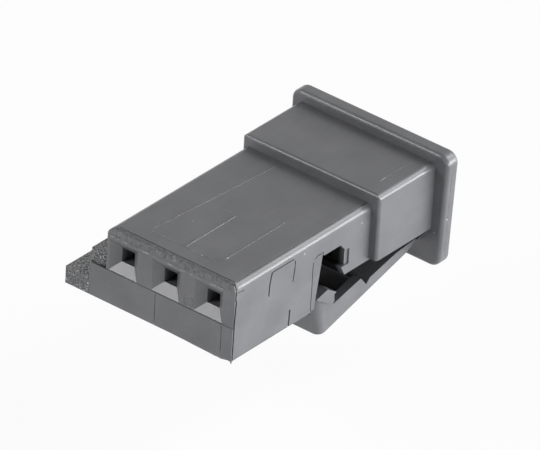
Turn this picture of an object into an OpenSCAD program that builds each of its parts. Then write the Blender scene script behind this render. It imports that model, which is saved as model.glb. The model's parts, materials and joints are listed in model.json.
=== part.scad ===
// Crimp connector housing for one row of square posts, with a film-hinged
// secondary-lock flap under its wire end.
// X runs along the contact row, Y from the mating face to the wire end, Z up.
// The origin is the middle of the contact row, on the mating face.

/* [Contact row] */
// Number of contacts in the row
ways = 3; // [2:1:6]
// Distance between neighbouring contacts
pitch = 2.54; // [2.4:0.02:3.5]
// Height of the contact axes above the underside
axis_h = 2.62; // [2.5:0.02:2.75]
// Side of the square hole for a post
post_hole = 0.75; // [0.6:0.05:0.9]
// Side of the square lead-in funnel at the mating face
funnel_mouth = 1.75; // [1.3:0.05:1.85]
// Depth of the lead-in funnel
funnel_d = 0.42; // [0.3:0.02:0.7]
// Wall between the mating face and the contact cavities
front_wall = 1.3; // [1:0.05:2]
// Width of a contact cavity
cavity_w = 1.4; // [1.1:0.05:1.6]
// Height of a contact cavity
cavity_h = 2; // [1.6:0.05:2.2]
// Widening of a cavity at its wire mouth, on each side
entry_flare = 0.3; // [0.1:0.05:0.4]

/* [Body] */
// From the first contact axis to the left side
left_margin = 0.99; // [0.95:0.01:1.4]
// From the last contact axis to the right side
right_margin = 1.52; // [1.3:0.02:1.9]
// Height of the body
body_h = 4.05; // [3.95:0.01:4.8]
// Radius of the two long upper edges
body_edge_r = 0.38; // [0.1:0.01:0.45]
// Radius of the upper front edge
lip_edge_r = 0.25; // [0.1:0.01:0.4]
// Step back from the lower plate to the pillars and lip of the mating face
face_step = 0.04; // [0.02:0.01:0.12]
// Length of the nose along the underside
nose_l = 6.15; // [5:0.05:8]

/* [Polarising ribs] */
// Reach of the low rib, from the left side of the body
low_rib_reach = 2.34; // [1.2:0.02:3]
// Height of the low rib
low_rib_h = 0.91; // [0.5:0.01:1.4]
// Reach of the high rib, from the left side of the body
high_rib_reach = 0.95; // [0.5:0.01:1.1]
// Height of the high rib
high_rib_h = 2.47; // [2.1:0.01:3.2]
// Set-back of the high rib's face behind the mating face
high_rib_setback = 0.14; // [0.06:0.02:0.5]

/* [Catch notch] */
// Length of the notch along the underside
notch_l = 2.08; // [1.9:0.02:2.6]
// How far the front edge of the notch leans back at its top
notch_lean = 0.45; // [0.3:0.01:0.48]
// Height of the notch above the top of the nib
notch_over_nib = 1.27; // [0.9:0.01:1.6]
// Cut of the notch's upper rear corner
notch_corner = 0.43; // [0.2:0.01:0.6]
// Reach of the catch nib into the notch
nib_reach = 0.28; // [0.2:0.01:0.35]
// Height of the catch nib
nib_h = 0.51; // [0.4:0.01:0.7]
// Length of the wall between the notch and the shroud
catch_l = 1.76; // [1.4:0.02:3]
// Height of the rear walls' lower edge above the underside
wall_bottom_h = 0.99; // [0.9:0.01:1.1]
// Depth of the shallow relief round the notch
relief_d = 0.08; // [0.04:0.01:0.12]
// Length of the relief in front of the notch
relief_front = 0.28; // [0.1:0.02:0.6]
// Length of the relief behind the notch
relief_rear = 0.26; // [0.1:0.02:0.6]

/* [Shroud and flange] */
// Length of the shroud
shroud_l = 4.11; // [3:0.05:6]
// Step up from the body to the shroud
shroud_step_top = 0.58; // [0.3:0.01:0.9]
// Step out from the body to the shroud on the right
shroud_step_right = 0.48; // [0.3:0.01:0.8]
// Step out from the body to the shroud on the left
shroud_step_left = 0.15; // [0.05:0.01:0.5]
// How much higher the shroud's lower edge is than the walls'
shroud_lift = 0.1; // [0.04:0.01:0.3]
// Radius of the shroud's long upper edges
shroud_edge_r = 0.32; // [0.1:0.01:0.4]
// Radius of the shroud's upper and upright front edges
shroud_front_r = 0.18; // [0.08:0.01:0.3]
// Thickness of the flange
flange_t = 0.83; // [0.6:0.01:1.4]
// Overhang of the flange past the shroud at the top
flange_over_top = 0.55; // [0.2:0.01:0.8]
// Overhang of the flange past the shroud on the right
flange_over_right = 0.78; // [0.5:0.01:1]
// Overhang of the flange past the shroud on the left
flange_over_left = 0.43; // [0.3:0.01:1]
// Drop of the flange below the underside
flange_drop = 0.96; // [0.5:0.01:1.2]
// How much the flange narrows on the right from its top to its bottom
flange_taper = 0.22; // [0.05:0.01:0.4]
// Radius of the flange's corners
flange_corner_r = 0.58; // [0.25:0.01:0.7]
// Radius along the flange's edges
flange_edge_r = 0.2; // [0.06:0.01:0.25]

/* [Retainer flap] */
// Angle by which the flap stands open
open_angle = 13.5; // [4:0.5:40]
// Set-back of the flap's sides from the body's sides
flap_inset = 0.25; // [0.15:0.01:0.4]
// Gap from the nose to the flap's end wall along the underside
flap_gap = 0.5; // [0.45:0.01:0.7]
// Height of the plate's upper face
plate_top_h = 0.5; // [0.4:0.01:0.6]
// How far the plate's underside hangs below the housing's at its free end
plate_drop = 0.24; // [0.1:0.01:0.4]
// Thickness of the end wall
end_wall_t = 0.6; // [0.4:0.02:0.9]
// Thickness of the side rims
rim_t = 0.45; // [0.3:0.01:0.6]
// Gap between the rims and the walls above when the flap is shut
rim_gap = 0.08; // [0.04:0.01:0.12]
// Radius of the end wall's upright corners
flap_corner_r = 0.4; // [0.2:0.01:0.55]
// Depth of the vee cut into the rims' rear ends, below the plate's upper face
vee_depth = 0.2; // [0.1:0.01:0.3]
// Width of a lock tooth
lock_w = 1; // [0.8:0.02:1.05]
// Height of the lock teeth above the floor of the cavities
lock_bite = 0.55; // [0.3:0.01:0.7]

/* [Flap catch] */
// Overlap of the catch tooth and the nib
catch_bite = 0.1; // [0.05:0.01:0.12]
// Gap round the nib when the flap is shut
catch_gap = 0.07; // [0.05:0.01:0.1]
// Height of the catch tooth above the nib
tooth_rise = 0.66; // [0.5:0.01:0.8]
// Length of the catch tooth's flat top
tooth_top_l = 0.8; // [0.5:0.02:0.85]
// Set-back of the catch tooth's front from the flap's end wall
tooth_setback = 0.04; // [0.02:0.01:0.1]
// How far the catch tooth stands out of the flap's side
tooth_proud = 0.12; // [0.06:0.01:0.2]
// Height of the catch tooth's root above the rims
tooth_root = 0.24; // [0.15:0.01:0.3]

/* [Film hinge] */
// Height of the hinge above the underside
hinge_h = 0.25; // [0.2:0.01:0.3]
// Thickness of the film
film_t = 0.1; // [0.06:0.01:0.14]
// Gap from the film's edge to the flange
film_gap = 0.08; // [0.05:0.01:0.12]
// Length of the plate's upper taper towards the hinge
film_taper_top = 1.6; // [1:0.05:2.2]
// Length of the plate's lower taper towards the hinge
film_taper_bottom = 0.86; // [0.6:0.02:1.2]

/* [Hidden] */
$fn = 48;
plastic = [0.2, 0.2, 0.21];
// Overshoot of a cut past the face that it opens
over = 1;

// Contact row
contact_xs = [for (i = [0 : ways - 1]) (i - (ways - 1) / 2) * pitch];
cavity_floor_h = axis_h - cavity_h / 2;
plate_face_h = axis_h - funnel_mouth / 2;

// Stations along the body
notch_rear = nose_l + notch_l;
shroud_start = notch_rear + catch_l;
flange_start = shroud_start + shroud_l;
body_l = flange_start + flange_t;
nose_skin_l = nose_l - relief_front;

// Sides
body_left = contact_xs[0] - left_margin;
body_right = contact_xs[ways - 1] + right_margin;
shroud_left = body_left - shroud_step_left;
shroud_right = body_right + shroud_step_right;
flange_left = shroud_left - flange_over_left;
flange_right = shroud_right + flange_over_right;
shroud_top_h = body_h + shroud_step_top;
shroud_bottom_h = wall_bottom_h + shroud_lift;
flange_top_h = shroud_top_h + flange_over_top;
flange_h = flange_top_h + flange_drop;
flange_lean = atan(flange_taper / flange_h);
// Set-back of the flange's leaning side from its corners, and its overlap with them
side_ease = 0.004;
side_tuck = 0.016;

// Catch notch and nib
nib_top_h = wall_bottom_h + nib_h;
nib_tip = notch_rear - nib_reach;
notch_top_h = nib_top_h + notch_over_nib;
relief_top_h = notch_top_h + relief_d;

// Flap, in its shut position
flap_left = body_left + flap_inset;
flap_right = body_right - flap_inset;
flap_w = flap_right - flap_left;
flap_front = nose_l + flap_gap;
rim_top_h = wall_bottom_h - rim_gap;
rim_end = shroud_start - rim_gap;
vee_run = rim_top_h - plate_top_h + vee_depth;
hinge_y = flange_start - film_gap / 2;
film_end = flange_start - film_gap;
lock_top_h = cavity_floor_h + lock_bite;

// Catch tooth
tooth_top_h = nib_top_h + tooth_rise;
tooth_tip = nib_tip + catch_bite;
tooth_tip_h = nib_top_h + catch_gap;
tooth_throat = nib_tip - catch_gap;
tooth_front = flap_front + tooth_setback;
tooth_root_y = tooth_throat - nib_reach;
tooth_root_h = rim_top_h + tooth_root;
cheek_top_h = tooth_top_h - tooth_proud;

// Draws what is given from the underside up, in the frame of the contact axes
module from_underside() translate([0, 0, -axis_h]) children();

// Extrudes an X-Z outline along Y
module along_y(start, length)
    translate([0, start + length, 0]) rotate([90, 0, 0]) linear_extrude(length) children();

// Extrudes a Y-Z outline along X
module along_x(start, length)
    translate([start, 0, 0]) rotate([90, 0, 90]) linear_extrude(length) children();

// Rectangle from corner a to corner b, rounded at its upper corners only
module round_top(a, b, r) {
    translate(a) square([b.x - a.x, b.y - a.y - r]);
    translate([a.x + r, a.y]) square([b.x - a.x - 2 * r, b.y - a.y]);
    for (x = [a.x + r, b.x - r]) translate([x, b.y - r]) circle(r);
}

// Rectangle from corner a to corner b, rounded at its two corners nearest the mating face
module round_front(a, b, r) mirror([0, 1]) round_top([a.x, -b.y], [b.x, -a.y], r);

// Rectangular taper along Y about the contact axis, carried straight on past its start
module taper(start, start_size, end, end_size) {
    ahead = start < end ? start - over : start + over;
    intersection() {
        translate([0, 0, -over - cavity_h]) linear_extrude(2 * (over + cavity_h))
            polygon([
                [-start_size.x / 2, ahead], [-start_size.x / 2, start], [-end_size.x / 2, end],
                [end_size.x / 2, end], [start_size.x / 2, start], [start_size.x / 2, ahead]
            ]);
        along_x(-over - cavity_h, 2 * (over + cavity_h))
            polygon([
                [ahead, -start_size.y / 2], [start, -start_size.y / 2], [end, -end_size.y / 2],
                [end, end_size.y / 2], [start, start_size.y / 2], [ahead, start_size.y / 2]
            ]);
    }
}

// Lead-in funnel, post hole, cavity and flared wire mouth of one contact
module contact_way() {
    taper(0, [funnel_mouth, funnel_mouth], funnel_d, [post_hole, post_hole]);
    translate([-post_hole / 2, funnel_d / 2, -post_hole / 2])
        cube([post_hole, front_wall, post_hole]);
    translate([-cavity_w / 2, front_wall, -cavity_h / 2])
        cube([cavity_w, body_l - front_wall + over, cavity_h]);
    taper(
        body_l, [cavity_w + 2 * entry_flare, cavity_h + 2 * entry_flare],
        body_l - 2 * entry_flare, [cavity_w, cavity_h]
    );
}

// Body from the mating face into the flange, with its upper edges rounded
module body_block() {
    length = flange_start + flange_t / 2;
    intersection() {
        along_y(0, length) round_top([body_left, 0], [body_right, body_h], body_edge_r);
        along_x(body_left, body_right - body_left)
            round_top([face_step, 0], [length + over, body_h], lip_edge_r);
    }
    translate([body_left, 0, 0]) cube([body_right - body_left, 2 * face_step, plate_face_h]);
}

// Stepped keys along the left side of the nose
module polarising_ribs() {
    along_x(body_left - high_rib_reach, high_rib_reach + left_margin / 2)
        polygon([
            [0, 0], [nose_skin_l, 0], [nose_skin_l, high_rib_h], [high_rib_setback, high_rib_h],
            [high_rib_setback, plate_face_h], [0, plate_face_h]
        ]);
    translate([body_left - low_rib_reach, 0, 0])
        cube([low_rib_reach, nose_skin_l, low_rib_h]);
}

// Thicker sleeve round the wire end, open below
module shroud() {
    length = flange_start - shroud_start + flange_t / 2;
    intersection() {
        along_y(shroud_start, length)
            round_top([shroud_left, shroud_bottom_h], [shroud_right, shroud_top_h], shroud_edge_r);
        linear_extrude(shroud_top_h)
            round_front(
                [shroud_left, shroud_start], [shroud_right, shroud_start + length], shroud_front_r
            );
        along_x(shroud_left, shroud_right - shroud_left)
            round_top(
                [shroud_start, 0], [shroud_start + length + over, shroud_top_h], shroud_front_r
            );
    }
}

// X of the flange's leaning right side at a height, moved in by a distance square to that side
function flange_side(h, inset) =
    flange_right - (flange_top_h - h) * tan(flange_lean) - inset / cos(flange_lean);

// Section of the flange's border: from inside the plate out to a rounded edge at a reach
module flange_border(inside, reach)
    intersection() {
        mirror([1, -1]) round_top([0, -inside - over], [flange_t, reach], flange_edge_r);
        translate([-inside, 0]) square([inside + reach, flange_t]);
    }

// End flange, narrower at its lower right and rounded all the way round
module flange() {
    left_x = flange_left + flange_corner_r;
    high_h = flange_top_h - flange_corner_r;
    low_h = flange_corner_r - flange_drop;
    centres = [
        [left_x, high_h], [flange_side(high_h, flange_corner_r), high_h],
        [flange_side(low_h, flange_corner_r), low_h], [left_x, low_h]
    ];
    headings = [0, -90 - flange_lean, -180, -270];
    sweeps = [90, 90 + flange_lean, 90 - flange_lean, 90];
    eases = [0, side_ease, 0, 0];
    tucks = [0, side_tuck, 0, 0];
    translate([0, body_l, 0]) rotate([90, 0, 0]) {
        linear_extrude(flange_t) polygon(centres);
        for (i = [0 : 3])
            translate(centres[i]) rotate(headings[i]) {
                length = norm(centres[(i + 1) % 4] - centres[i]);
                rotate(90) rotate_extrude(angle = sweeps[i]) flange_border(0, flange_corner_r);
                along_x(-tucks[i], length + 2 * tucks[i])
                    flange_border(side_tuck, flange_corner_r - eases[i]);
            }
    }
}

// Space for the flap: the notch with its nib, then the low ceiling to the flange
module underside_cut()
    along_x(body_left - low_rib_reach - over, body_right - body_left + low_rib_reach + 3 * over)
        polygon([
            [nose_l - notch_lean * over / notch_top_h, -over],
            [nose_l + notch_lean, notch_top_h],
            [notch_rear - notch_corner, notch_top_h],
            [notch_rear, notch_top_h - notch_corner],
            [notch_rear, nib_top_h],
            [nib_tip, nib_top_h],
            [notch_rear, wall_bottom_h],
            [flange_start, wall_bottom_h],
            [flange_start, -over]
        ]);

// Shallow relief in the body's sides in front of the notch and behind it
module notch_relief() {
    for (x = [body_left - over, body_right - relief_d])
        along_x(x, relief_d + over) {
            polygon([
                [nose_skin_l, -over], [nose_skin_l, relief_top_h],
                [nose_l + notch_lean, relief_top_h],
                [nose_l + notch_lean, notch_top_h], [nose_l, -over]
            ]);
            translate([notch_rear - notch_corner / 2, nib_top_h])
                square([relief_rear + notch_corner / 2, notch_over_nib - notch_corner]);
        }
}

module housing()
    color(plastic)
        difference() {
            from_underside() {
                difference() {
                    union() {
                        body_block();
                        polarising_ribs();
                        shroud();
                    }
                    underside_cut();
                    notch_relief();
                }
                flange();
            }
            for (x = contact_xs) translate([x, 0, 0]) contact_way();
        }

// Side view of the flap's plate, tapering to the film at the hinge
module plate_outline()
    polygon([
        [flap_front, -plate_drop],
        [hinge_y - film_taper_bottom, 0],
        [film_end, hinge_h - film_t / 2],
        [film_end, hinge_h + film_t / 2],
        [hinge_y - film_taper_top, plate_top_h],
        [rim_end + vee_run, plate_top_h],
        [rim_end + vee_run / 2, plate_top_h - vee_depth],
        [rim_end, plate_top_h],
        [flap_front, plate_top_h]
    ]);

// Side view of a side rim, high at the end wall and level under the housing's wall
module rim_outline()
    polygon([
        [flap_front, 0],
        [flap_front, cheek_top_h],
        [tooth_front + tooth_proud, cheek_top_h],
        [tooth_root_y + tooth_proud, tooth_root_h],
        [tooth_throat, rim_top_h],
        [rim_end, rim_top_h],
        [rim_end + vee_run / 2, plate_top_h - vee_depth],
        [rim_end, 0]
    ]);

// Side view of the end wall with a lock tooth
module lock_outline(top_h)
    polygon([
        [flap_front, 0], [flap_front, top_h], [flap_front + end_wall_t / 2, top_h],
        [flap_front + end_wall_t, rim_top_h], [flap_front + end_wall_t, 0]
    ]);

// Side view of a catch tooth that snaps over the nib
module catch_outline()
    polygon([
        [tooth_front, cheek_top_h],
        [tooth_front, tooth_top_h],
        [tooth_front + tooth_top_l, tooth_top_h],
        [tooth_tip, tooth_tip_h],
        [tooth_throat, tooth_tip_h],
        [tooth_throat - catch_gap, tooth_root_h],
        [tooth_root_y, tooth_root_h]
    ]);

// Flap in its shut position, measured from the underside
module shut_flap() {
    intersection() {
        union() {
            along_x(flap_left, flap_w) plate_outline();
            along_x(flap_left, flap_w) lock_outline(rim_top_h);
            for (x = contact_xs) along_x(x - lock_w / 2, lock_w) lock_outline(lock_top_h);
            for (x = [flap_left, flap_right - rim_t]) along_x(x, rim_t) rim_outline();
        }
        translate([0, 0, -plate_drop - over]) linear_extrude(plate_drop + lock_top_h + 2 * over)
            round_front([flap_left, flap_front], [flap_right, flange_start], flap_corner_r);
    }
    for (x = [flap_left - tooth_proud, flap_right - rim_t])
        along_x(x, rim_t + tooth_proud) catch_outline();
}

module retainer_flap()
    color(plastic)
        from_underside()
            translate([0, hinge_y, hinge_h]) rotate([open_angle, 0, 0])
                translate([0, -hinge_y, -hinge_h]) shut_flap();

housing();
retainer_flap();
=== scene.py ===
import bpy
import bmesh
import json
import math
from mathutils import Matrix, Vector, noise
from mathutils.bvhtree import BVHTree


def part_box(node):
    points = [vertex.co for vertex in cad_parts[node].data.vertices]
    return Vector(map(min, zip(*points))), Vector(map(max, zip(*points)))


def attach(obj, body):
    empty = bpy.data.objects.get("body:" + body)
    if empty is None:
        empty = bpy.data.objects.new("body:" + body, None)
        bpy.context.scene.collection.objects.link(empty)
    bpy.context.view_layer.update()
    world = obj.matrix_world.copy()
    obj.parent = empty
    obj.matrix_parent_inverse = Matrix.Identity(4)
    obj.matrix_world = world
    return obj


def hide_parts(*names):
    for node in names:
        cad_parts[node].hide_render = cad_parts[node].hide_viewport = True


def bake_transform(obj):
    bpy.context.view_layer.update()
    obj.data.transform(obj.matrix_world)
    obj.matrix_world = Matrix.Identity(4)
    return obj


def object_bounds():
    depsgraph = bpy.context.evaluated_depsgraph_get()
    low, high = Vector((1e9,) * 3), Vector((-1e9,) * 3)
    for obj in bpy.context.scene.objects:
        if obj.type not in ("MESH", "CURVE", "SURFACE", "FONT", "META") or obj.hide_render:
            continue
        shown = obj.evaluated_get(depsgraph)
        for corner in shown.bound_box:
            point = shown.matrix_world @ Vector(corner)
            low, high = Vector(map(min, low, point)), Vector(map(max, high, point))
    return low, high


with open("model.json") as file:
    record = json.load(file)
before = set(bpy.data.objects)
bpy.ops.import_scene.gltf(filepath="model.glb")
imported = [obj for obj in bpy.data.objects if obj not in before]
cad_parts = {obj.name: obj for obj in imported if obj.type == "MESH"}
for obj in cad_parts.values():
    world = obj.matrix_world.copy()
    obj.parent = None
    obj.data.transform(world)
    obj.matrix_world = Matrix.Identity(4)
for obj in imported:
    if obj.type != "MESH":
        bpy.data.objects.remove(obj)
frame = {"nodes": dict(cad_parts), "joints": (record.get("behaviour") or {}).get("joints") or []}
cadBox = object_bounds()
mm = 0.001
print("frame loaded:", ", ".join(sorted(frame["nodes"])))


# a socket that takes part in sums, so that shader maths reads as plain expressions
class Wire:
    def __init__(self, tree, socket=None):
        self.tree = tree
        self.socket = socket

    def node(self, kind, settings=None, values=None, outlet=0):
        made = self.tree.nodes.new(kind)
        for name, value in (settings or {}).items():
            setattr(made, name, value)
        for name, value in (values or {}).items():
            self.feed(made.inputs[name], value)
        return Wire(self.tree, made.outputs[outlet] if made.outputs else None)

    def feed(self, socket, value):
        if isinstance(value, Wire):
            self.tree.links.new(value.socket, socket)
        else:
            socket.default_value = value

    def beside(self, outlet):
        return Wire(self.tree, self.socket.node.outputs[outlet])

    def maths(self, operation, first, second):
        return self.node("ShaderNodeMath", {"operation": operation}, {0: first, 1: second})

    def __add__(self, other):
        return self.maths("ADD", self, other)

    def __radd__(self, other):
        return self.maths("ADD", other, self)

    def __sub__(self, other):
        return self.maths("SUBTRACT", self, other)

    def __rsub__(self, other):
        return self.maths("SUBTRACT", other, self)

    def __mul__(self, other):
        return self.maths("MULTIPLY", self, other)

    def __rmul__(self, other):
        return self.maths("MULTIPLY", other, self)

    def __lt__(self, other):
        return self.maths("LESS_THAN", self, other)

    def __gt__(self, other):
        return self.maths("GREATER_THAN", self, other)

    def __or__(self, other):
        return self.maths("MAXIMUM", self, other)

    def __ror__(self, other):
        return self.maths("MAXIMUM", other, self)


# camera at the photograph's angle; all its lengths are in millimetres
cameraLook = {
    "turn": 37.3395,
    "rise": 31.8022,
    "roll": 3.3733,
    "aim": (0.0791, 7.5645, -0.3392),
    "distance": 521.03,
    "lens": 748.77,
    "sensor": 36.0,
    "clipEnd": 3000.0,
}


# unit vector towards a place: degrees round from the front to the right, degrees up
def heading(turnDegrees, riseDegrees):
    turn = math.radians(turnDegrees)
    rise = math.radians(riseDegrees)
    return Vector((math.sin(turn) * math.cos(rise), -math.cos(turn) * math.cos(rise), math.sin(rise)))


def addCamera(look):
    turn = math.radians(look["turn"])
    roll = math.radians(look["roll"])
    back = heading(look["turn"], look["rise"])
    levelRight = Vector((math.cos(turn), math.sin(turn), 0))
    levelUp = back.cross(levelRight)
    right = levelRight * math.cos(roll) + levelUp * math.sin(roll)
    up = back.cross(right)
    eye = (Vector(look["aim"]) + back * look["distance"]) * mm
    lens = bpy.data.cameras.new("photoCamera")
    lens.lens = look["lens"]
    lens.sensor_width = look["sensor"]
    lens.clip_end = look["clipEnd"] * mm
    camera = bpy.data.objects.new("photoCamera", lens)
    camera.matrix_world = Matrix.Translation(eye) @ Matrix((right, up, back)).transposed().to_4x4()
    bpy.context.scene.collection.objects.link(camera)
    bpy.context.scene.camera = camera
    print("camera set", round(look["lens"]), "mm lens")


addCamera(cameraLook)


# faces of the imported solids, for setting small marks down on them
def surfaceOf(node):
    mesh = frame["nodes"][node].data
    corners = [v.co.copy() for v in mesh.vertices]
    faces = [tuple(p.vertices) for p in mesh.polygons]
    return BVHTree.FromPolygons(corners, faces)


surfaces = {node: surfaceOf(node) for node in ("housing", "retainer_flap")}
castReach = 50 * mm
flapHinge = next(j for j in frame["joints"] if j["name"] == "flap_hinge")
hingePivot = Vector(flapHinge["pos_m"])


# the point and outward direction of a solid where it is met from one side, from two places in mm
def landOn(side, a, b, node="housing"):
    starts = {
        "top": (Vector((a * mm, b * mm, castReach)), Vector((0, 0, -1))),
        "under": (Vector((a * mm, b * mm, -castReach)), Vector((0, 0, 1))),
        "right": (Vector((castReach, a * mm, b * mm)), Vector((-1, 0, 0))),
        "left": (Vector((-castReach, a * mm, b * mm)), Vector((1, 0, 0))),
        "front": (Vector((a * mm, -castReach, b * mm)), Vector((0, 1, 0))),
    }
    point, outward, _, _ = surfaces[node].ray_cast(*starts[side])
    return point, outward


# where the smooth sides of the body are met, in mm along and up
sideProbes = {"left": (7.0, 0.8), "right": (3.0, 0.0)}
bodyLeft = landOn("left", *sideProbes["left"])[0].x / mm
bodyRight = landOn("right", *sideProbes["right"])[0].x / mm
print("body found,", round(bodyRight - bodyLeft, 2), "mm wide")

# satin skin of dark grey plastic; lengths are in mm, and a scale is how often a pattern turns in 1 mm
skinLook = {
    "colour": (0.098, 0.100, 0.107, 1),
    "lighter": (0.136, 0.138, 0.146, 1),
    "roughness": 0.33,
    "roughnessSwing": 0.10,
    "specular": 0.5,
    "cloudScale": 0.55,
    "cloudDetail": 3.0,
    "cloudShare": 1.7,
    "flowStretch": (5.0, 0.6, 5.0),
    "flowScale": 0.7,
    "flowDetail": 2.0,
    "flowShare": 0.5,
    "grainScale": 17.0,
    "grainDetail": 2.0,
    "grainBump": 0.0014,
    "grainRoughness": 0.06,
}

# spark-eroded skin of the ribs beside the body; the front plate before them is smooth; its pits carry a
# painted shade and its glints a painted highlight in the colour
ribLook = {
    "inset": 0.02,
    "rear": 6.0,
    "plateLeft": -4.46,
    "plateFront": 0.07,
    "roughness": 0.22,
    "bump": 0.22,
    # pit: painted shade, a near-black colour laid into the pits
    "pit": (0.022, 0.022, 0.024, 1),
    "pitScale": 7.0,
    "pitDetail": 3.0,
    "pitBelow": 0.5,
    "pitGrowth": 7.0,
    # glint colour: painted highlight, a near-white colour where the glint pattern peaks
    "glintColour": (0.55, 0.55, 0.56, 1),
    "fleckScale": 6.5,
    "fleckDetail": 1.0,
    "fleckTwist": 1.5,
    "fleckAbove": 0.64,
    "fleckGrowth": 12.0,
}

# duller skin of the lip over the funnels, with a share of the ribs' painted pit shade and painted glint
# highlights
lipLook = {"depth": 0.3, "above": 1.03, "roughness": 0.62, "bump": 0.04, "pits": 0.5, "glintShare": 0.22}

# light grey specks strewn by chance, and single spots as x, y, z and radius; both are a little rougher
# than the skin
speckLook = {
    "colour": (0.45, 0.45, 0.45, 1),
    "cover": 0.8,
    "duller": 0.3,
    "scale": 1.6,
    "radius": 0.03,
    "chanceScale": 1.3,
    "chanceAbove": 0.74,
    "ragged": 0.1,
    "grains": [
        (4.0, 3.12, 1.38, 0.05),
        (4.06, 5.1, 0.91, 0.04),
        (4.06, 9.34, 0.68, 0.04),
        (2.23, 1.72, 1.43, 0.05),
        (-0.98, 3.1, 1.43, 0.035),
        (5.2, 14.41, -0.94, 0.045),
        (3.93, 10.98, -3.0, 0.05),
    ],
}

# painted shade: the unlit inside behind the notches and over the flap is painted plain black; the wire
# mouths stay as bright as the skin
insideShadeLook = {
    "colour": (0.012, 0.012, 0.013, 1),
    "share": 0.97,
    "left": -3.45,
    "right": 3.9,
    "growth": 4.0,
    "front": 6.2,
    "rear": 13.9,
    "floor": -2.05,
    "ceiling": 1.05,
    "throatRear": 11.0,
    "throatGrowth": 0.7,
    "throatFloor": -1.1,
}
noiseMiddle = 0.5


# a value held between 0 and 1
def limited(value):
    return value.node("ShaderNodeClamp", values={"Value": value})


# a soft pattern over places in mm
def patternAt(place, scale, detail, twist=0.0):
    values = {"Vector": place, "Scale": scale, "Detail": detail, "Distortion": twist}
    return place.node("ShaderNodeTexNoise", values=values)


# the Mix node's sockets for colours, which share their names with those for other kinds
mixSockets = {"share": 0, "first": 6, "second": 7, "result": 2}


# from one colour to another by a share
def tinted(share, first, second):
    settings = {"data_type": "RGBA", "clamp_factor": True}
    values = {mixSockets["share"]: share, mixSockets["first"]: first, mixSockets["second"]: second}
    return share.node("ShaderNodeMix", settings, values, outlet=mixSockets["result"])


def specksOver(place, grain, look):
    values = {"Vector": place, "Scale": look["scale"]}
    cells = place.node("ShaderNodeTexVoronoi", values=values, outlet="Distance")
    chance = patternAt(place, look["chanceScale"], 0.0)
    specks = (cells < look["radius"] * look["scale"]) * (chance > look["chanceAbove"])
    edge = (grain - noiseMiddle) * look["ragged"]
    for x, y, z, radius in look["grains"]:
        ends = {0: place, 1: (x, y, z)}
        apart = place.node("ShaderNodeVectorMath", {"operation": "DISTANCE"}, ends, outlet="Value")
        specks = specks | (apart + edge < radius)
    return specks


# where the painted shade of the inside goes
def insideShadeOf(across, along, upward, look):
    deep = limited((look["right"] - across) * look["growth"])
    deep = deep * limited((across - look["left"]) * look["growth"])
    deep = deep * (along > look["front"]) * (along < look["rear"])
    throat = limited((look["throatRear"] - along) * look["throatGrowth"]) * (upward < look["ceiling"])
    return deep * (upward > look["floor"]) * (throat | (upward < look["throatFloor"]))


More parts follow.
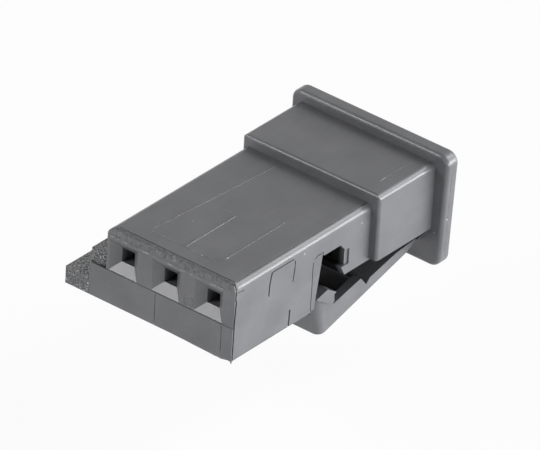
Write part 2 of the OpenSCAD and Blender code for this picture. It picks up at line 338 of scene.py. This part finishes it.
def mouldedPlastic(name, skin, ribs, lip, speckle, inside):
    material = bpy.data.materials.new(name)
    material.use_nodes = True
    tree = material.node_tree
    shader = tree.nodes["Principled BSDF"]
    pen = Wire(tree)
    spot = pen.node("ShaderNodeTexCoord", outlet="Object")
    place = pen.node("ShaderNodeVectorMath", {"operation": "SCALE"}, {"Vector": spot, "Scale": 1 / mm})
    across = pen.node("ShaderNodeSeparateXYZ", values={"Vector": place}, outlet="X")
    along = across.beside("Y")
    upward = across.beside("Z")

    # slow clouds over the skin, streaks along the flow and a fine grain
    clouds = patternAt(place, skin["cloudScale"], skin["cloudDetail"])
    grain = patternAt(place, skin["grainScale"], skin["grainDetail"])
    stretch = {0: place, 1: skin["flowStretch"]}
    stretched = pen.node("ShaderNodeVectorMath", {"operation": "MULTIPLY"}, stretch)
    flow = patternAt(stretched, skin["flowScale"], skin["flowDetail"])

    # where the skin is rough, with painted shade in its pits and painted highlights on its glints
    plate = (along < ribs["plateFront"]) * (across > ribs["plateLeft"])
    rough = (across < bodyLeft - ribs["inset"]) * (along < ribs["rear"]) * (1 - plate)
    dull = (along < lip["depth"]) * (upward > lip["above"]) * (1 - rough)
    pits = patternAt(place, ribs["pitScale"], ribs["pitDetail"])
    glints = patternAt(place, ribs["fleckScale"], ribs["fleckDetail"], ribs["fleckTwist"])
    pitShade = (rough + dull * lip["pits"]) * limited((ribs["pitBelow"] - pits) * ribs["pitGrowth"])
    paintedGlints = (rough + dull * lip["glintShare"]) * limited((glints - ribs["fleckAbove"]) * ribs["fleckGrowth"])
    specks = specksOver(place, grain, speckle)

    clouded = (clouds - noiseMiddle) * skin["cloudShare"]
    streaked = (flow - noiseMiddle) * skin["flowShare"]
    colour = tinted(clouded + streaked + noiseMiddle, skin["colour"], skin["lighter"])
    # painted shade darkens the pits, then painted highlights lighten the glints
    colour = tinted(pitShade, colour, ribs["pit"])
    colour = tinted(paintedGlints, colour, ribs["glintColour"])
    # light grey specks mixed into the colour
    colour = tinted(specks * speckle["cover"], colour, speckle["colour"])
    pen.feed(shader.inputs["Base Color"], colour)

    smooth = skin["roughness"] + (clouds - noiseMiddle) * skin["roughnessSwing"]
    smooth = smooth + (grain - noiseMiddle) * skin["grainRoughness"]
    eroded = rough * (ribs["roughness"] - skin["roughness"])
    eroded = eroded + dull * (lip["roughness"] - skin["roughness"])
    pen.feed(shader.inputs["Roughness"], smooth + eroded + specks * speckle["duller"])

    depth = rough * (ribs["bump"] * mm) + dull * (lip["bump"] * mm)
    height = grain * (skin["grainBump"] * mm) + pits * depth
    relief = {"Strength": 1.0, "Distance": 1.0, "Height": height}
    pen.feed(shader.inputs["Normal"], pen.node("ShaderNodeBump", values=relief, outlet="Normal"))
    shader.inputs["Specular IOR Level"].default_value = skin["specular"]

    # painted shade: plain black without gloss over the unlit inside
    black = {"Base Color": inside["colour"], "Roughness": 1.0, "Specular IOR Level": 0.0}
    paintedShade = pen.node("ShaderNodeBsdfPrincipled", values=black, outlet="BSDF")
    deep = insideShadeOf(across, along, upward, inside) * inside["share"]
    outside = Wire(tree, shader.outputs["BSDF"])
    mixed = pen.node("ShaderNodeMixShader", values={0: deep, 1: outside, 2: paintedShade})
    pen.feed(tree.nodes["Material Output"].inputs["Surface"], mixed)
    return material


plastic = mouldedPlastic("satinBlack", skinLook, ribLook, lipLook, speckLook, insideShadeLook)
print("plastic made")


def addPiece(name, mesh, body=None):
    piece = bpy.data.objects.new(name, mesh)
    bpy.context.scene.collection.objects.link(piece)
    if body:
        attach(piece, body)
    piece.data.materials.clear()
    piece.data.materials.append(plastic)
    return piece


# the places along a line of corners, evenly spaced, with the corners kept
def evenly(corners, spacing):
    places = []
    for start, end in zip(corners, corners[1:]):
        steps = max(1, round(math.dist(start, end) / spacing))
        for i in range(steps):
            share = i / steps
            places.append(tuple(s + (e - s) * share for s, e in zip(start, end)))
    places.append(corners[-1])
    return places


# adds a closed bar to a mesh: at each point of its path one ring of (sideways, outward) places in mm
def addBar(work, path, rings, closed=False):
    loops = []
    last = len(path) - 1
    for i, (point, outward) in enumerate(path):
        before = path[i - 1 if closed else max(i - 1, 0)][0]
        after = path[(i + 1) % len(path) if closed else min(i + 1, last)][0]
        side = (after - before).cross(outward).normalized()
        loops.append([work.verts.new(point + (side * a + outward * b) * mm) for a, b in rings[i]])
    count = len(loops[0])
    for loop, following in zip(loops, loops[1:] + loops[:1] if closed else loops[1:]):
        for k in range(count):
            work.faces.new((loop[k], loop[(k + 1) % count], following[(k + 1) % count], following[k]))
    if not closed:
        work.faces.new(list(reversed(loops[0])))
        work.faces.new(loops[-1])


# a mesh of closed bodies, with their faces turned outward
def closedMesh(work, name):
    bmesh.ops.recalc_face_normals(work, faces=work.faces)
    mesh = bpy.data.meshes.new(name)
    work.to_mesh(mesh)
    work.free()
    return mesh


seedSpread = (1.0, 0.7, 1.3)


# a smooth chance from -1 to 1 that depends on a place in mm
def chanceAt(point, seed, scale):
    shift = Vector([seed * s for s in seedSpread])
    return noise.noise(point / mm * scale + shift)


# fine lines that the mould left as slots, in mm: side, corners, width, depth, run past the last corner
slotLook = {
    "insertLeft": ("right", [(2.57, -0.25), (2.6, 0.36), (2.72, 0.92)], 0.09, 0.10, 0.06),
    "insertTop": ("right", [(2.74, 0.98), (4.3, 0.98)], 0.06, 0.08, 0.03),
    "insertRight": ("right", [(4.45, 0.86), (4.41, 0.3), (4.34, -0.25)], 0.07, 0.10, 0.0),
    "footSlot": ("right", [(4.23, -1.72), (4.18, -2.6)], 0.11, 0.12, 0.2),
    "reliefOutline": (
        "right", [(6.58, 0.33), (6.15, 0.36), (5.88, 0.25), (5.81, -0.1), (5.8, -2.6)], 0.05, 0.08, 0.2,
    ),
    "cornerSlot": (
        "right",
        [(0.13, 1.05), (0.1, 0.72), (0.17, 0.48), (0.13, 0.1), (0.1, -0.6), (0.08, -2.6)],
        0.095, 0.16, 0.2,
    ),
    "cornerOver": ("right", [(0.13, 1.0), (0.14, 1.2), (0.19, 1.34), (0.25, 1.41)], 0.07, 0.06, 0.0),
    "filletLine": ("top", [(3.79, 0.45), (3.79, 9.9)], 0.07, 0.026, 0.0),
    "cornerNick": ("right", [(0.24, 1.02), (0.45, 0.99), (0.7, 0.95)], 0.04, 0.05, 0.0),
    "lipSlot": ("top", [(-3.1, 0.34), (0.5, 0.33), (3.75, 0.34)], 0.055, 0.05, 0.0),
    "plateLine": ("front", [(-0.55, -0.92), (-0.53, -2.43)], 0.035, 0.03, 0.0),
    "plateEndLine": ("front", [(3.39, -0.95), (3.4, -2.33)], 0.035, 0.03, 0.0),
}

# how unevenly the slots run
slotCut = {
    "spacing": 0.12,
    "overshoot": 0.06,
    "sway": 0.012,
    "swayScale": 2.0,
    "swaySeed": 20,
    "widthSwing": 0.35,
    "widthScale": 3.0,
    "floorShare": 0.8,
}


def slotCutters(look, cut):
    work = bmesh.new()
    for number, (side, corners, width, depth, runOut) in enumerate(look.values()):
        path = [landOn(side, *place) for place in evenly(corners, cut["spacing"])]
        if runOut:
            onward = (path[-1][0] - path[-2][0]).normalized()
            path.append((path[-1][0] + onward * runOut * mm, path[-1][1]))
        rings = []
        for point, outward in path:
            half = width / 2 * (1 + cut["widthSwing"] * chanceAt(point, number, cut["widthScale"]))
            sway = cut["sway"] * chanceAt(point, number + cut["swaySeed"], cut["swayScale"])
            floor = half * cut["floorShare"]
            rings.append([
                (sway - half, cut["overshoot"]),
                (sway + half, cut["overshoot"]),
                (sway + floor, -depth),
                (sway - floor, -depth),
            ])
        addBar(work, path, rings)
    cutters = bpy.data.objects.new("slotCutters", closedMesh(work, "slotCutters"))
    bpy.context.scene.collection.objects.link(cutters)
    return cutters


# shells of the two solids with their sharp edges broken as a mould leaves them
housingLook = {
    "weld": 0.0002,
    "flatAngle": 0.4,
    "sharpAngle": 28.0,
    "edgeWidth": 0.045,
    "edgeShare": 0.3,
    "edgeSteps": 2,
    "cornerTurn": 40.0,
    "smoothAngle": 33.0,
}
flapLook = {**housingLook, "edgeWidth": 0.11, "edgeSteps": 3}
leastDepth = 1e-7


# how much room an edge has on its two faces, in metres
def edgeRoom(edge):
    a = edge.verts[0].co
    b = edge.verts[1].co
    along = (b - a).normalized()
    middle = (a + b) / 2
    room = castReach
    for face in edge.link_faces:
        inward = face.normal.cross(along)
        for other in face.edges:
            if other is edge:
                continue
            far = [(v.co - middle) for v in other.verts]
            spans = [f.dot(along) for f in far]
            depths = [abs(f.dot(inward)) for f in far]
            if max(spans) < -edge.calc_length() / 2 or min(spans) > edge.calc_length() / 2:
                continue
            reach = max(depths)
            if reach > 0:
                near = min(depths) if min(depths) > leastDepth else reach
                room = min(room, near)
    return room


# the solid's mesh with a bevel weight on each outer edge, less where there is little room
def weightedEdges(node, look):
    work = bmesh.new()
    work.from_mesh(frame["nodes"][node].data)
    bmesh.ops.remove_doubles(work, verts=work.verts, dist=look["weld"] * mm)
    bmesh.ops.dissolve_limit(
        work,
        angle_limit=math.radians(look["flatAngle"]),
        verts=work.verts,
        edges=work.edges,
        delimit=set(),
    )
    work.normal_update()
    weights = work.edges.layers.float.new("bevel_weight_edge")
    width = look["edgeWidth"] * mm
    leastTurn = math.radians(look["sharpAngle"])
    outer = [e for e in work.edges if len(e.link_faces) == 2 and e.calc_face_angle_signed() > leastTurn]
    allowed = {e: min(width, look["edgeShare"] * edgeRoom(e)) for e in outer}
    turn = math.cos(math.radians(look["cornerTurn"]))
    for vert in work.verts:
        meeting = [e for e in vert.link_edges if e in allowed]
        for e in meeting:
            for other in meeting:
                if other is e:
                    continue
                va = (e.other_vert(vert).co - vert.co).normalized()
                vb = (other.other_vert(vert).co - vert.co).normalized()
                if -va.dot(vb) < turn:
                    allowed[other] = min(allowed[other], look["edgeShare"] * e.calc_length())
    for e, size in allowed.items():
        e[weights] = size / width
    mesh = bpy.data.meshes.new(node + "Edges")
    work.to_mesh(mesh)
    work.free()
    return mesh


# the mesh that an object's modifiers leave; the object itself goes
def settledMesh(draft, name):
    graph = bpy.context.evaluated_depsgraph_get()
    finished = draft.evaluated_get(graph)
    mesh = bpy.data.meshes.new_from_object(finished, preserve_all_data_layers=True, depsgraph=graph)
    mesh.name = name
    bpy.data.objects.remove(draft)
    return mesh


# corner normals that lean to the larger faces, with a crease at every edge sharper than an angle
def setNormals(mesh, degrees, weld):
    work = bmesh.new()
    work.from_mesh(mesh)
    bmesh.ops.remove_doubles(work, verts=work.verts, dist=weld * mm)
    bmesh.ops.dissolve_degenerate(work, edges=work.edges, dist=weld * mm)
    work.normal_update()
    limit = math.radians(degrees)
    for face in work.faces:
        face.smooth = True
    for edge in work.edges:
        edge.smooth = len(edge.link_faces) == 2 and edge.calc_face_angle() < limit
    normals = []
    for face in work.faces:
        for corner in face.loops:
            fan = [face]
            reached = [face]
            while reached:
                for edge in reached.pop().edges:
                    if edge.smooth and corner.vert in edge.verts:
                        found = [f for f in edge.link_faces if f not in fan]
                        fan.extend(found)
                        reached.extend(found)
            total = sum((f.normal * f.calc_area() for f in fan), Vector())
            normals.append(total.normalized())
    work.to_mesh(mesh)
    work.free()
    mesh.normals_split_custom_set(normals)


def finishedShell(name, node, body, look, cutters=None):
    draft = bpy.data.objects.new(name + "Draft", weightedEdges(node, look))
    bpy.context.scene.collection.objects.link(draft)
    bevel = draft.modifiers.new("edges", "BEVEL")
    bevel.limit_method = "WEIGHT"
    bevel.offset_type = "OFFSET"
    bevel.width = look["edgeWidth"] * mm
    bevel.segments = look["edgeSteps"]
    bevel.use_clamp_overlap = True
    if cutters:
        cut = draft.modifiers.new("slots", "BOOLEAN")
        cut.operation = "DIFFERENCE"
        cut.solver = "EXACT"
        cut.use_self = True
        cut.object = cutters
    mesh = settledMesh(draft, name)
    if cutters:
        bpy.data.objects.remove(cutters)
    setNormals(mesh, look["smoothAngle"], look["weld"])
    piece = addPiece(name, mesh, body)
    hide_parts(node)
    print(name, "has", len(piece.data.polygons), "faces")


finishedShell("housingShell", "housing", "housing", housingLook, slotCutters(slotLook, slotCut))
finishedShell("flapShell", "retainer_flap", "flap", flapLook)


# thin raised lines and flash: side, corners in mm, width, height, how much of it is broken away
ridgeLook = {
    "topLeft": ("top", [(-1.91, 1.2), (-1.6, 4.95), (-1.26, 9.6)], 0.09, 0.014, 0.05),
    "topMiddle": ("top", [(0.19, 1.12), (0.18, 4.8)], 0.10, 0.026, 0.0),
    "topRight": ("top", [(2.21, 1.55), (2.18, 6.0)], 0.09, 0.014, 0.05),
    "topFront": ("top", [(-1.88, 1.16), (0.13, 1.1), (1.96, 1.1), (2.21, 1.55)], 0.10, 0.017, 0.0),
    "topCross": ("top", [(-1.33, 4.89), (0.89, 4.94)], 0.05, 0.012, 0.6),
    "sleeveTop": ("top", [(3.63, 10.3), (3.62, 13.9)], 0.045, 0.014, 0.45),
    "lipFlash": ("front", [(-3.4, 0.98), (-1.2, 0.95), (0.9, 0.93), (3.5, 0.95)], 0.16, 0.045, 0.35),
    "ribFlash": ("front", [(-4.44, -0.95), (-4.45, -1.8), (-4.45, -2.55)], 0.08, 0.03, 0.4),
    "stepFlash": ("front", [(3.45, -0.83), (3.62, -0.76), (4.0, -0.5)], 0.04, 0.02, 0.2),
    "flangeSide": ("right", [(14.46, 1.9), (14.46, -2.9)], 0.05, 0.012, 0.3),
    "flapSide": ("flapRight", [(7.0, -2.75), (7.08, -3.65)], 0.04, 0.012, 0.3),
    "toothFoot": ("flapRight", [(6.6, -2.74), (7.0, -2.68), (7.45, -2.64)], 0.10, 0.03, 0.5),
}

# how unevenly the raised lines run
ridgeRun = {
    "spacing": 0.06,
    "sunk": 0.02,
    "rise": 0.5,
    "slowSwing": 0.5,
    "slowScale": 1.7,
    "fastSwing": 0.35,
    "fastScale": 7.0,
    "brokenShare": 0.8,
    "steepness": 2.0,
    "deepest": -0.5,
    "widthSwing": 0.25,
    "widthScale": 5.0,
    "widthSeed": 9,
    "crestShare": 0.25,
}


def ridgeMesh(look, run, sides):
    work = bmesh.new()
    for number, (side, corners, width, height, broken) in enumerate(look.values()):
        if side not in sides:
            continue
        where = ("right", "retainer_flap") if side == "flapRight" else (side, "housing")
        path = [landOn(where[0], *place, node=where[1]) for place in evenly(corners, run["spacing"])]
        rings = []
        for i, (point, outward) in enumerate(path):
            rise = run["rise"] + run["slowSwing"] * chanceAt(point, number, run["slowScale"])
            rise += run["fastSwing"] * chanceAt(point, number, run["fastScale"])
            left = (rise - broken * run["brokenShare"]) * run["steepness"]
            crest = height * max(run["deepest"], min(1.0, left))
            chance = chanceAt(point, number + run["widthSeed"], run["widthScale"])
            half = width / 2 * (1 + run["widthSwing"] * chance)
            if i in (0, len(path) - 1):
                crest = -run["sunk"] / 2
            narrow = half * run["crestShare"]
            rings.append([(-half, -run["sunk"]), (half, -run["sunk"]), (narrow, crest), (-narrow, crest)])
        addBar(work, path, rings)
    return closedMesh(work, "ridges")


addPiece("mouldLines", ridgeMesh(ridgeLook, ridgeRun, ("top", "front", "right")), "housing")
addPiece("flapMouldLine", ridgeMesh(ridgeLook, ridgeRun, ("flapRight",)), "flap")
print("mould lines raised:", len(ridgeLook))

# thin flash that hangs from the front plate's lower edge towards the right, with a burr at the corner
flashLook = {
    "edge": [(-1.6, 0.0), (1.0, 0.07), (3.42, 0.14), (3.9, 0.03), (4.06, 0.02)],
    "spacing": 0.2,
    "thick": 0.12,
    "thinShare": 0.4,
    "sunk": 0.05,
    "raggedSwing": 0.12,
    "raggedScale": 4.0,
    "raggedSeed": 3,
    "burr": 0.16,
    "burrWide": 0.05,
    "burrLean": (0.06, -0.03),
}


def addPlateFlash(look):
    work = bmesh.new()
    underside = landOn("under", 0.0, 1.0)[0].z
    half = look["thick"] / 2
    thin = half * look["thinShare"]
    sunk = look["sunk"]
    rings = []
    path = []
    for x, drop in evenly(look["edge"], look["spacing"]):
        point = Vector((x * mm, half * mm, underside))
        chance = chanceAt(point, look["raggedSeed"], look["raggedScale"])
        ragged = drop * (1 + look["raggedSwing"] * chance)
        path.append((point, Vector((0, 0, -1))))
        rings.append([(-half, -sunk), (half, -sunk), (half, ragged), (half - 2 * thin, ragged)])
    addBar(work, path, rings)
    wide = look["burrWide"]
    corner = Vector(((bodyRight - wide) * mm, wide * mm, underside))
    foot = [(-wide, -wide), (wide, -wide), (wide, wide), (-wide, wide)]
    base = [work.verts.new(corner + Vector((a, b, sunk)) * mm) for a, b in foot]
    tip = work.verts.new(corner + Vector((*look["burrLean"], -look["burr"])) * mm)
    work.faces.new(base)
    for i in range(4):
        work.faces.new((base[i], base[(i + 1) % 4], tip))
    addPiece("plateFlash", closedMesh(work, "plateFlash"), "housing")
    print("flash hung below", round(underside / mm, 2), "mm")


addPlateFlash(flashLook)

# ring that an ejector pin left on the pillar right of the middle funnel
ejectorLook = {
    "place": (1.38, -0.53),
    "radius": 0.28,
    "width": 0.12,
    "crestShare": 0.2,
    "proud": 0.024,
    "sunk": 0.02,
    "sides": 48,
}


def addEjectorMark(look):
    work = bmesh.new()
    centre, outward = landOn("front", *look["place"])
    half = look["width"] / 2
    path = []
    for i in range(look["sides"]):
        angle = 2 * math.pi * i / look["sides"]
        spoke = Vector((math.cos(angle), 0, math.sin(angle)))
        path.append((centre + spoke * look["radius"] * mm, outward))
    crest = half * look["crestShare"]
    foot = [(-half, -look["sunk"]), (half, -look["sunk"])]
    ring = foot + [(crest, look["proud"]), (-crest, look["proud"])]
    addBar(work, path, [ring] * len(path), closed=True)
    addPiece("ejectorMark", closedMesh(work, "ejectorMark"), "housing")
    print("ejector mark of", look["sides"], "sides")


addEjectorMark(ejectorLook)

# film that hinges the flap on the flange
filmLook = {"thick": 0.11, "reach": 0.14, "inset": 0.02, "bend": 0.04}


def addFilmHinge(look):
    pivot = hingePivot
    shut = math.radians(min(flapHinge["range_deg"]))
    low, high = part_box("retainer_flap")
    left = low.x / mm + look["inset"]
    right = high.x / mm - look["inset"]
    lean = Vector((0, -math.cos(shut), math.sin(shut)))
    level = Vector((0, 1, 0))
    stations = [
        (pivot + lean * look["reach"] * mm, lean),
        (pivot + lean * look["bend"] * mm, lean),
        (pivot, (lean - level).normalized()),
        (pivot + level * look["bend"] * mm, -level),
        (pivot + level * look["reach"] * mm, -level),
    ]
    work = bmesh.new()
    loops = []
    for point, back in stations:
        up = Vector((1, 0, 0)).cross(-back).normalized() * look["thick"] / 2
        corners = [(left, up), (right, up), (right, -up), (left, -up)]
        loops.append([work.verts.new(Vector((x * mm, point.y, point.z)) + u * mm) for x, u in corners])
    for loop, following in zip(loops, loops[1:]):
        for i in range(4):
            j = (i + 1) % 4
            work.faces.new((loop[i], loop[j], following[j], following[i]))
    work.faces.new(loops[0])
    work.faces.new(loops[-1])
    film = addPiece("filmHinge", closedMesh(work, "filmHinge"))
    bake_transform(film)
    print("film hinge laid at", [round(c / mm, 2) for c in pivot])


addFilmHinge(filmLook)

# white table in a white room
roomLook = {
    "tableDrop": 0.4,
    "tableSize": 600.0,
    "tableWhite": 0.86,
    "shadowShare": 0.07,
    "fill": 0.02,
    "paper": 1.0,
}


# where a ray comes straight from the camera, or by way of gloss or glass
def plainlySeen(pen):
    camera = pen.node("ShaderNodeLightPath", outlet="Is Camera Ray")
    return camera | camera.beside("Is Glossy Ray") | camera.beside("Is Transmission Ray")


def addTable(look):
    low = min(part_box(node)[0].z for node in frame["nodes"])
    swing = Matrix.Rotation(math.radians(max(flapHinge["range_deg"])), 3, Vector(flapHinge["axis"]))
    for v in frame["nodes"]["retainer_flap"].data.vertices:
        low = min(low, (swing @ (v.co - hingePivot) + hingePivot).z)
    half = look["tableSize"] * mm / 2
    height = low - look["tableDrop"] * mm
    mesh = bpy.data.meshes.new("tableTop")
    corners = [(-half, -half, height), (half, -half, height), (half, half, height), (-half, half, height)]
    mesh.from_pydata(corners, [], [(0, 1, 2, 3)])
    table = bpy.data.objects.new("tableTop", mesh)
    bpy.context.scene.collection.objects.link(table)
    material = bpy.data.materials.new("whiteTable")
    material.use_nodes = True
    tree = material.node_tree
    tree.nodes.clear()
    pen = Wire(tree)
    white = (look["tableWhite"], look["tableWhite"], look["tableWhite"], 1)
    matte = pen.node("ShaderNodeBsdfDiffuse", values={"Color": white}, outlet="BSDF")
    paper = pen.node(
        "ShaderNodeEmission",
        values={"Color": (1, 1, 1, 1), "Strength": look["paper"]},
        outlet="Emission",
    )
    seen = plainlySeen(pen) * (1 - look["shadowShare"])
    mixed = pen.node("ShaderNodeMixShader", values={0: seen, 1: matte, 2: paper})
    pen.node("ShaderNodeOutputMaterial", values={"Surface": mixed})
    mesh.materials.append(material)
    print("table at", round(height / mm, 2), "mm")


def addRoom(look):
    world = bpy.data.worlds.new("whiteRoom")
    world.use_nodes = True
    tree = world.node_tree
    tree.nodes.clear()
    pen = Wire(tree)
    fill = pen.node(
        "ShaderNodeBackground",
        values={"Color": (1, 1, 1, 1), "Strength": look["fill"]},
        outlet="Background",
    )
    paper = pen.node(
        "ShaderNodeBackground",
        values={"Color": (1, 1, 1, 1), "Strength": look["paper"]},
        outlet="Background",
    )
    mixed = pen.node("ShaderNodeMixShader", values={0: plainlySeen(pen), 1: fill, 2: paper})
    pen.node("ShaderNodeOutputWorld", values={"Surface": mixed})
    bpy.context.scene.world = world


addTable(roomLook)
addRoom(roomLook)

# soft lamps: degrees round from the front to the right, degrees up, lengths in mm, power in watts
lampLook = {
    "rightSide": {"turn": 101.0, "rise": 3.0, "away": 300.0, "wide": 520.0, "high": 120.0, "power": 2.30},
    "rightLow": {"turn": 130.0, "rise": 4.0, "away": 300.0, "wide": 280.0, "high": 120.0, "power": 0.60},
    "rightBack": {"turn": 150.0, "rise": 36.0, "away": 300.0, "wide": 170.0, "high": 240.0, "power": 0.37},
    "rightEdge": {"turn": 152.0, "rise": 39.0, "away": 300.0, "wide": 60.0, "high": 60.0, "power": 0.11},
    "leftFront": {"turn": -39.0, "rise": 30.0, "away": 300.0, "wide": 74.0, "high": 116.0, "power": 0.37},
    "frontStrip": {"turn": -15.0, "rise": -2.9, "away": 90.0, "wide": 120.0, "high": 6.0, "power": 0.022},
    "leftBack": {"turn": 255.0, "rise": 14.0, "away": 300.0, "wide": 260.0, "high": 180.0, "power": 0.20},
}


def addLamps(lamps):
    centre = (cadBox[0] + cadBox[1]) / 2
    for name, lamp in lamps.items():
        toLamp = heading(lamp["turn"], lamp["rise"])
        light = bpy.data.lights.new(name, "AREA")
        light.shape = "RECTANGLE"
        light.size = lamp["wide"] * mm
        light.size_y = lamp["high"] * mm
        light.energy = lamp["power"]
        holder = bpy.data.objects.new(name, light)
        holder.location = centre + toLamp * lamp["away"] * mm
        holder.rotation_euler = toLamp.to_track_quat("Z", "Y").to_euler()
        bpy.context.scene.collection.objects.link(holder)
    print("lamps lit:", ", ".join(lamps))


addLamps(lampLook)
bpy.context.scene.view_settings.view_transform = "Standard"
